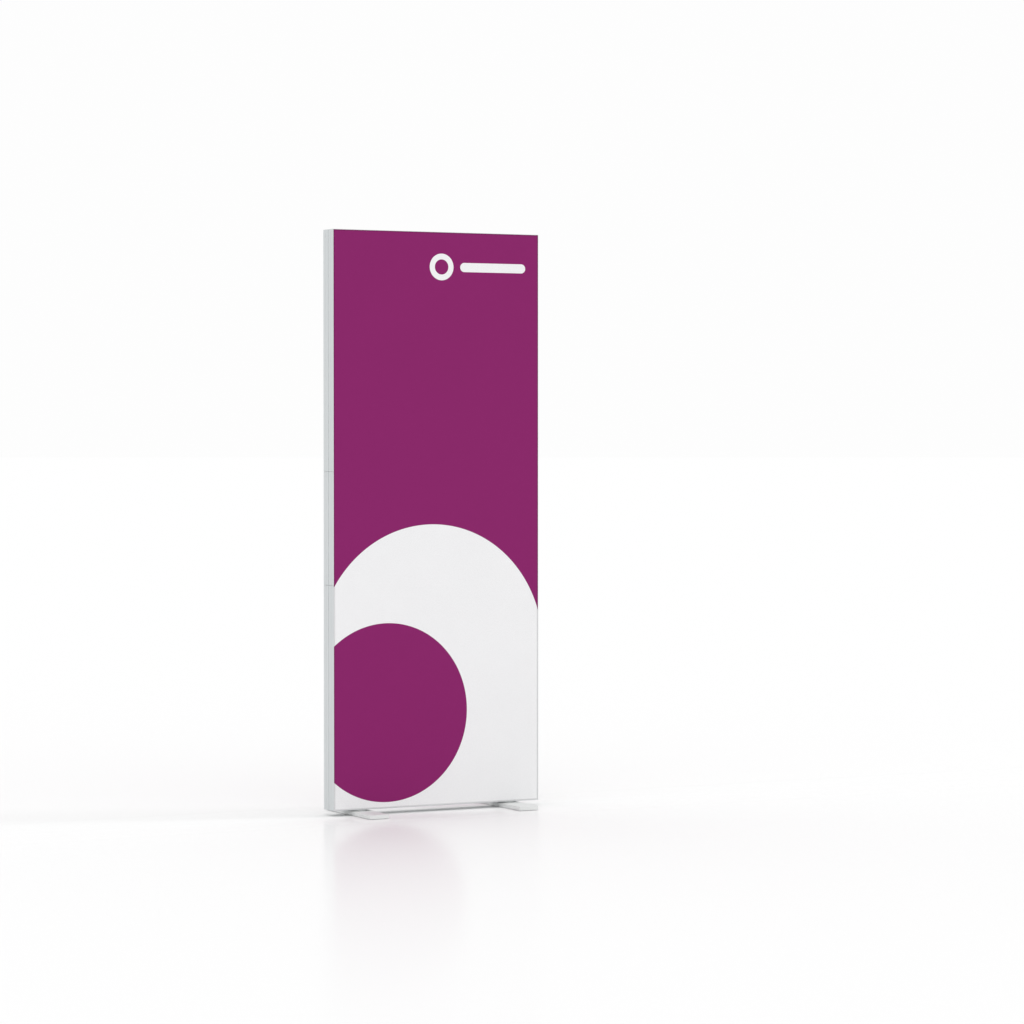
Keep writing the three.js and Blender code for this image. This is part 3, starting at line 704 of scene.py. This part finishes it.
def fabricFace(name, sign, material):
    low, high = (np.array(corner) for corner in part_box(f"fabric_{name}"))
    low, high = low - cloth["spare"] * mm, high + cloth["spare"] * mm
    x, z = np.meshgrid(clothLines(low[0], high[0]), clothLines(low[2], high[2]))
    fromSide = np.minimum(x - low[0], high[0] - x)
    fromEnd = np.minimum(z - low[2], high[2] - z)
    depth = np.hypot(clothDepth(fromSide), clothDepth(fromEnd))
    y = sign * (section["halfDepth"] * mm - np.minimum(depth, cloth["deepest"] * mm))
    points = np.stack([x, y, z], -1).reshape(-1, 3)
    faces = gridFaces(*x.shape, closed=False)
    if sign > 0:
        faces = faces[:, ::-1]
    mesh = bpy.data.meshes.new(f"fabric_{name}_cloth")
    mesh.from_pydata(points.tolist(), [], faces.tolist())
    mesh.shade_smooth()
    mesh.materials.append(material)
    piece = bpy.data.objects.new(mesh.name, mesh)
    scene.collection.objects.link(piece)
    thick = piece.modifiers.new("thickness", "SOLIDIFY")
    thick.thickness = cloth["thickness"] * mm
    thick.offset = -1
    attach(piece, "frame")
    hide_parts(f"fabric_{name}")


fabricFace("front", -1, printedPolyester("front", -1))
fabricFace("rear", 1, printedPolyester("rear", 1))
print("fabric stretched")


# the feet

foot = {
    "wall": 3, "topEdge": 1.6, "rimEdge": 0.6, "corner": 3, "bore": 5.5,
    "coverPoints": 64, "padCorner": 8, "padEdge": 0.6,
    "discRadius": 42, "discEdge": 0.8, "discPoints": 96,
    "boltHead": 9, "headHeight": 3, "headEdge": 0.6, "boltShank": 5, "shankEdge": 0.8,
    "hexAcross": 8, "hexDepth": 2, "boltPoints": 48,
    "fineEdge": 0.3, "boltPlay": 0.3,
}


def weld(piece):
    # joins places that coincide, which closes a shell whose last loop lies on its first
    nearest = 0.00001
    work = bmesh.new()
    work.from_mesh(piece.data)
    bmesh.ops.remove_doubles(work, verts=work.verts, dist=nearest)
    bmesh.ops.recalc_face_normals(work, faces=work.faces)
    work.to_mesh(piece.data)
    work.free()
    smoothFaces(piece.data)


def footCover(side):
    node = f"foot_{side}_cover"
    low, high = nodeBox(node)
    middle = (low + high) / 2
    width, length = high[0] - low[0], high[1] - low[1]
    bottom, top = low[2], high[2]
    count = foot["coverPoints"]
    edge, rim, wall = foot["topEdge"], foot["rimEdge"], foot["wall"]
    # heights and insets from the outer side, in order: over the top's rounded edge, down the side,
    # round the rim, up the inner wall and to the ceiling
    turn = np.linspace(0, math.pi / 2, 7)
    over = np.stack([top - edge * (1 - np.cos(turn)), edge * (1 - np.sin(turn))], 1)
    under = np.stack([bottom + rim * (1 - np.sin(turn)), rim * (1 - np.cos(turn))], 1)
    steps = np.concatenate([over, under, [
        (bottom, wall - rim), (bottom + rim, wall), (top - wall, wall)]])
    # a corner has the same number of points whatever its size, so that loops join in straight lines
    loops = np.stack([
        roundedRectangle(width - 2 * inset, length - 2 * inset,
                         max(foot["corner"] - inset, 0.05), steps=count // 4 - 1)
        for _, inset in steps])
    heights = np.broadcast_to(steps[:, :1], loops.shape[:2])
    # the bore round the pivot, matched point for point: a circle whose points lie in the same
    # directions as the rectangle's
    direction = np.arctan2(loops[0, :, 1], loops[0, :, 0])
    circle = np.stack([np.cos(direction), np.sin(direction)], 1)
    bore, around = circle * foot["bore"], circle * (width / 2 - 2 * edge)
    loops = np.concatenate([[bore, around], loops, [around, bore, bore]])
    heights = np.concatenate([
        np.full((2, count), top), heights,
        np.full((2, count), top - wall), np.full((1, count), top)])
    points = np.concatenate([loops, heights[..., None]], -1)
    points[..., :2] += middle[:2]
    points = points.reshape(-1, 3) * mm
    cover = addMesh(f"foot_{side}_cover_shell", points, gridFaces(len(loops), count))
    weld(cover)
    finishPiece(cover, f"{side}_foot", footCoat, [node])


def footPad(side, end):
    node = f"foot_{side}_pad_{end}"
    low, high = nodeBox(node)
    middle = (low + high) / 2
    loop = roundedRectangle(high[0] - low[0], high[1] - low[1], foot["padCorner"])
    stations = roundedEnds(low[2], high[2], foot["padEdge"])
    place = lambda u, v, t: ((u + middle[0]) * mm, (v + middle[1]) * mm, t * mm)
    piece = sweptSolid(node + "_rubber", [loop], stations, place)
    finishPiece(piece, f"{side}_foot", padRubber, [node])


def footPivot(side):
    washer, bolt = f"foot_{side}_washer", f"foot_{side}_pivot_bolt"
    low, high = nodeBox(washer)
    x, y = (low[0] + high[0]) / 2, (low[1] + high[1]) / 2
    place = lambda a, b, c: ((a + x) * mm, (b + y) * mm, c * mm)
    outside, inside = foot["discRadius"], foot["boltShank"] + foot["boltPlay"]
    fine, edge = foot["fineEdge"], foot["discEdge"]
    disc = turnedSolid(f"foot_{side}_turning_disc", [
        (inside, low[2], fine), (outside, low[2], edge),
        (outside, high[2], edge), (inside, high[2], fine),
    ], foot["discPoints"], place)
    finishPiece(disc, "frame", footCoat, [washer])
    low, high = nodeBox(bolt)
    turned = hexBolt(bolt + "_turned", low[2], high[2], place)
    finishPiece(turned, "frame", zincSteel, [bolt])


def hexBolt(name, bottom, top, place):
    # round head with a hexagon socket below, then the shank; every loop has the same number of
    # points, and the socket's lie on the hexagon's sides in the same directions as the circle's
    count = foot["boltPoints"]
    angle = evenAngles(count)
    sixth = math.pi / 3
    hexRadius = foot["hexAcross"] / math.sqrt(3)
    flat = hexRadius * math.cos(sixth / 2) / np.cos(angle % sixth - sixth / 2)
    head, shank, fine = foot["boltHead"], foot["boltShank"], foot["fineEdge"]
    headEdge, shankEdge = foot["headEdge"], foot["shankEdge"]
    deep, headTop = bottom + foot["hexDepth"], bottom + foot["headHeight"]
    middle = 0.01  # the ends are filled inside this radius
    rows = [
        (middle, deep), (flat * 0.97, deep), (flat, deep - 0.2),
        (flat, bottom + fine), (flat + fine, bottom), (head - headEdge, bottom),
        (head - 0.15, bottom + 0.2), (head, bottom + 0.7),
        (head, headTop - 0.2), (head - 0.2, headTop),
        (shank + fine, headTop), (shank, headTop + fine),
        (shank, top - shankEdge), (shank - shankEdge, top), (middle, top),
    ]
    radius = np.array([np.broadcast_to(r, count) for r, _ in rows])
    height = np.array([h for _, h in rows])[:, None] + 0 * radius
    points = np.stack(place(radius * np.cos(angle), radius * np.sin(angle), height), -1)
    points = points.reshape(-1, 3)
    ends = (set(range(count)), set(range(len(points) - count, len(points))))
    return addMesh(name, points, gridFaces(len(rows), count), ends)


for side in ("left", "right"):
    footCover(side)
    for end in ("front", "rear"):
        footPad(side, end)
    footPivot(side)
print("feet made")


# mains inlet and rocker switch in the right post

inlet = {
    "width": 32, "height": 50, "corner": 2.2, "setBack": 0.4, "depth": 25, "play": 0.3,
    "flange": (2.9, 4.9), "flangeLap": 3, "flangeCorner": 3,
    "plugWidth": 24.6, "plugHeight": 16.6, "plugCut": 4, "plugDrop": 10, "plugDepth": 16.4,
    "windowLength": 20, "windowHeight": 13, "openingCorner": 0.8,
    "pinThickness": 2, "pinWidth": 4, "pinLength": 9, "pinSpread": 7, "pinRise": 2,
}
rocker = {
    "rise": 13.5, "length": 17.6, "height": 12.4, "reach": 6, "edge": 0.7,
    "crown": 1.6, "dish": 14, "tilt": 7, "pivotDepth": 9.2,
    "mark": (-0.3, 0.12),  # how deep a mark is set, and how far it stands out
    "markAway": 4.9,
}
inletMiddle = sum(nodeBox("inlet_housing"))[2] / 2


def onPost(u, v, along):
    # across the depth, up from the module's middle, and inwards from the post's outer face
    return (outerX - along * mm, u * mm, (v + inletMiddle) * mm)


def cutWindow():
    # the opening in the post's outer wall that the module sits in
    size = (inlet["width"] + 2 * inlet["play"], inlet["height"] + 2 * inlet["play"])
    loop = roundedRectangle(*size, inlet["corner"] + inlet["play"])
    cutter = sweptSolid("window_cutter", [loop], [(-2, 0), (section["outerWall"] + 1, 0)], onPost)
    post = posts["post_right_lower"]
    post.modifiers.remove(post.modifiers["even normals"])
    opening = post.modifiers.new("opening", "BOOLEAN")
    opening.object = cutter
    opening.operation = "DIFFERENCE"
    graph = bpy.context.evaluated_depsgraph_get()
    cutMesh = bpy.data.meshes.new_from_object(post.evaluated_get(graph))
    post.modifiers.remove(opening)
    post.data = cutMesh
    smoothFaces(cutMesh)
    evenNormals(post)
    bpy.data.objects.remove(cutter)


def inletModule():
    s = inlet
    width, height, corner, small = s["width"], s["height"], s["corner"], s["openingCorner"]
    face = roundedRectangle(width, height, corner)
    x, y, c = s["plugWidth"] / 2, s["plugHeight"] / 2, s["plugCut"]
    plug = roundedLoop([
        (x, -y, small), (x, y - c, small), (x - c, y, small),
        (c - x, y, small), (-x, y - c, small), (-x, -y, small),
    ]) - np.array([0, s["plugDrop"]])
    window = roundedRectangle(s["windowLength"], s["windowHeight"], small, (0, rocker["rise"]))
    back = roundedRectangle(width - 2, height - 2, corner - 1)
    lap = 2 * s["flangeLap"]
    flange = roundedRectangle(width + lap, height + lap, s["flangeCorner"])
    hole = roundedRectangle(width - 0.2, height - 0.2, corner)
    for name, loops, ends, replaced in (
        ("inlet_shell", [face, plug[::-1], window[::-1]],
         roundedEnds(s["setBack"], s["plugDepth"], 0.5), ["inlet_housing"]),
        ("inlet_back", [back], roundedEnds(s["plugDepth"], s["depth"], 0.6), ()),
        ("inlet_flange", [flange, hole[::-1]], roundedEnds(*s["flange"], 0.3), ()),
    ):
        piece = sweptSolid(name, loops, ends, onPost)
        finishPiece(piece, "frame", moulding, replaced)
    for number, (across, rise) in enumerate(((-1, -1), (0, 1), (1, -1))):
        middle = (across * s["pinSpread"], rise * s["pinRise"] - s["plugDrop"])
        blade = roundedRectangle(s["pinThickness"], s["pinWidth"], 0.3, middle)
        ends = roundedEnds(s["plugDepth"] - s["pinLength"], s["plugDepth"] + 0.5, 0.2)
        pin = sweptSolid(f"inlet_pin_{number}", [blade], ends, onPost)
        finishPiece(pin, "frame", nickelBrass)


def rockerSwitch():
    # drawn level round its pivot, outwards and across, then tipped to the side that it rests on
    half, reach, crown = rocker["length"] / 2, rocker["reach"], rocker["crown"]
    loop = roundedLoop([
        (-reach / 2, -half / 2, 0.8), (reach / 2, -half, 0.8), (reach + crown, -half, 0.7),
        (reach, 0, rocker["dish"]), (reach + crown, half, 0.7), (reach / 2, half, 0.8),
        (-reach / 2, half / 2, 0.8),
    ], 6)
    tilt = -math.radians(rocker["tilt"])
    pivotX = outerX / mm - rocker["pivotDepth"]
    middle = inletMiddle + rocker["rise"]

    def place(u, v, along):
        x = u * math.cos(tilt) - v * math.sin(tilt) + pivotX
        y = u * math.sin(tilt) + v * math.cos(tilt)
        return (x * mm, y * mm, (along + middle) * mm)

    height = rocker["height"] / 2
    cap = sweptSolid("rocker_cap", [loop], roundedEnds(-height, height, rocker["edge"]), place)
    finishPiece(cap, "rocker", glossy, ["rocker_switch"])
    # a plain stroke on one half and a plain ring on the other, each lying on its own slope
    slope = math.atan2(crown, half)
    away = rocker["markAway"]
    stations = roundedEnds(*rocker["mark"], 0.05, 2)
    for name, way, loops in (
        ("rocker_stroke", 1, [roundedRectangle(0.8, 4.6, 0.35)]),
        ("rocker_ring", -1, [circleLoop(2.3, 40), circleLoop(1.6, 40)[::-1]]),
    ):
        def onSlope(u, v, along):
            out = reach + away * math.tan(slope) + along * math.cos(slope) + u * math.sin(slope)
            across = way * (away + u * math.cos(slope) - along * math.sin(slope))
            return place(out, across, v)

        mark = sweptSolid(name, loops, stations, onSlope)
        finishPiece(mark, "rocker", whiteMark)


cutWindow()
inletModule()
rockerSwitch()
print("inlet and switch made")


# what the frame holds inside keeps its own shape and gets its finish, by how its name starts

carried = {
    "corner_bracket": castAluminium,
    "splice_screw": zincSteel,
    "splice": castAluminium,
    "edge_strip": silicone,
    "led_bar": ledBoard,
    "driver_bracket": zincSteel,
    "driver": casePaint,
    "mains_lead": darkSheath,
    "lead": paleSheath,
    "foot_left_base": primedSteel,
    "foot_right_base": primedSteel,
    "foot_left_nut": zincSteel,
    "foot_right_nut": zincSteel,
}
for nodeName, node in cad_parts.items():
    for start, material in carried.items():
        if nodeName.startswith(start):
            node.data.materials.clear()
            node.data.materials.append(material)
            break
print("inner parts finished")
